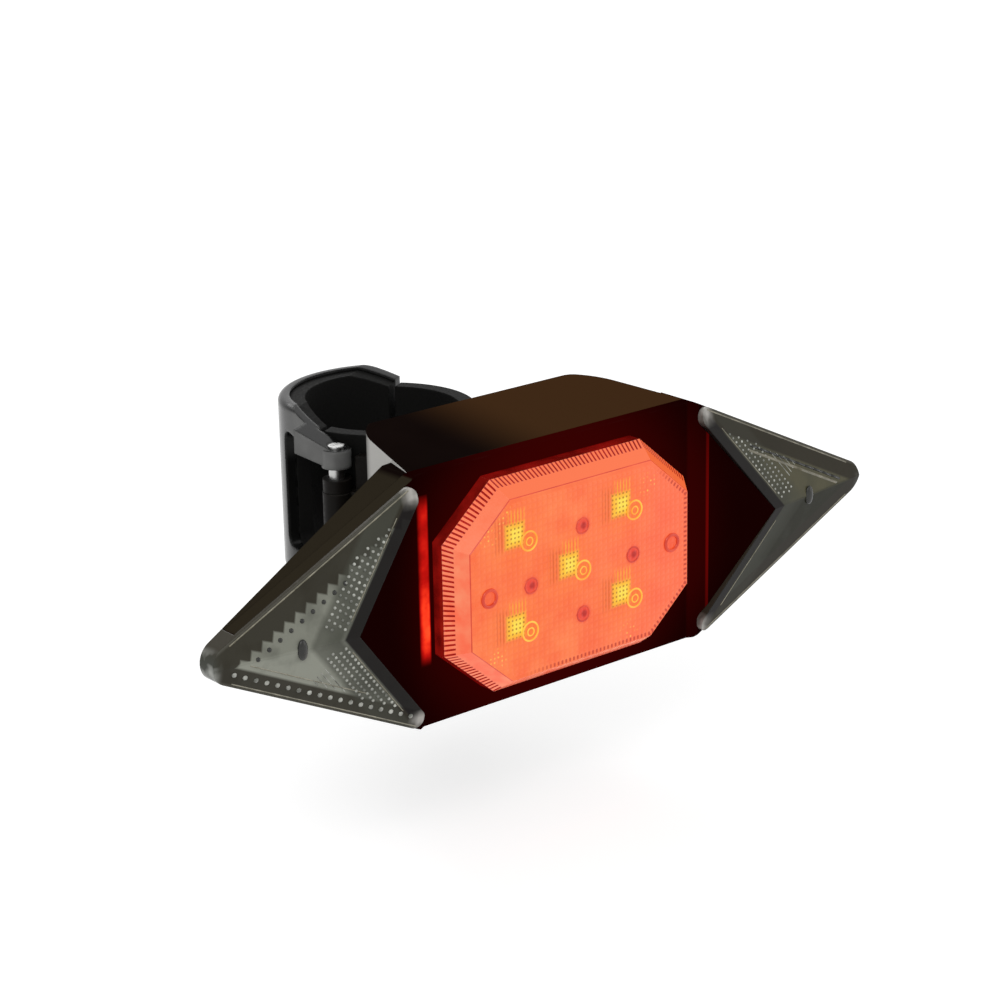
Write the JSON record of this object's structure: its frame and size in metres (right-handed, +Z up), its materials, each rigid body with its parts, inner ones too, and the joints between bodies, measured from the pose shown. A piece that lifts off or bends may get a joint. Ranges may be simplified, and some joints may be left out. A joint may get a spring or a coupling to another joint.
{
  "type": "bicycle turn signal light",
  "caption": "Bicycle rear light with a lit tail lens between two arrow-shaped turn signal lenses, on a hinged seatpost clamp.",
  "frame": {"origin": "on the seatpost's axis at the lamp's mid-height", "axes": "+X right as seen from behind the bicycle, +Y forwards, +Z up along the seatpost"},
  "size_m": [0.1296, 0.0751, 0.0439],
  "materials": {
    "black_shell": "satin",
    "strap_black": "glossy",
    "rubber_black": "matte",
    "tail_red": "clear prismatic",
    "arrow_smoke": "clear prismatic",
    "tray_red": "glossy",
    "sheet_white": "glossy",
    "board_black": "satin",
    "led_yellow": "glossy",
    "chip_black": "matte",
    "cell_foil": "satin",
    "foam_black": "matte",
    "wire_red": "satin",
    "steel": "satin",
    "brass": "satin"
  },
  "bodies": {
    "bracket": {"saddle": "black_shell", "saddle_pad": "rubber_black", "thread_insert": "brass", "hinge_pin": "steel", "hinge_spacer": "black_shell"},
    "strap": {"clamp_strap": "strap_black", "strap_pad": "rubber_black"},
    "lamp": {"rear_housing": "black_shell", "front_cover": "black_shell", "tail_lens": "tail_red", "tail_gasket": "rubber_black", "tail_reflector": "tray_red", "led_board": "board_black", "tail_leds": "led_yellow", "aux_leds": "led_yellow", "battery": "cell_foil", "battery_pads": "foam_black", "battery_leads": "wire_red", "control_board": "board_black", "control_chips": "chip_black", "antenna": "sheet_white", "tact_switch": "chip_black", "button_seal": "rubber_black", "charge_socket": "steel", "slide_rail": "black_shell", "rail_screws": "steel", "board_screws": "steel", "case_screws": "steel", "left_arrow_lens": "arrow_smoke", "left_arrow_gasket": "rubber_black", "left_arrow_reflector": "sheet_white", "left_arrow_board": "board_black", "left_arrow_leds": "led_yellow", "left_leads": "wire_red", "right_arrow_lens": "arrow_smoke", "right_arrow_gasket": "rubber_black", "right_arrow_reflector": "sheet_white", "right_arrow_board": "board_black", "right_arrow_leds": "led_yellow", "right_leads": "wire_red"},
    "washer": {"screw_washer": "steel"},
    "thumb_screw": {"clamp_screw": "black_shell"},
    "button": {"power_button": "rubber_black"},
    "flap": {"socket_cover": "rubber_black"}
  },
  "joints": [
    {"name": "strap_swing", "type": "hinge", "parent": "bracket", "child": "strap", "pos_m": [-0.01591, -0.00842, 0], "axis": [0, 0, 1], "range_deg": [0, 95]},
    {"name": "washer_slide", "type": "slide", "parent": "strap", "child": "washer", "axis": [-0.4679, 0.8838, 0], "range_m": [0, 0.00701]},
    {"name": "screw_spin", "type": "hinge", "parent": "washer", "child": "thumb_screw", "pos_m": [0.01856, 0.00983, 0.0022], "axis": [-0.4679, 0.8838, 0], "range_deg": [0, 3600]},
    {"name": "lamp_slide", "type": "slide", "parent": "bracket", "child": "lamp", "axis": [0, 0, 1], "range_m": [0, 0.03]},
    {"name": "button_press", "type": "slide", "parent": "lamp", "child": "button", "axis": [0, 0, 1], "range_m": [0, 0.0006], "stiffness_N_per_m": 1800},
    {"name": "flap_swing", "type": "hinge", "parent": "lamp", "child": "flap", "pos_m": [0.01535, -0.0279, -0.02115], "axis": [0, -1, 0], "range_deg": [0, 110]}
  ],
  "couplings": [
    {"joint": "screw_spin", "follows": "washer_slide", "rad_per_m": 8962}
  ]
}
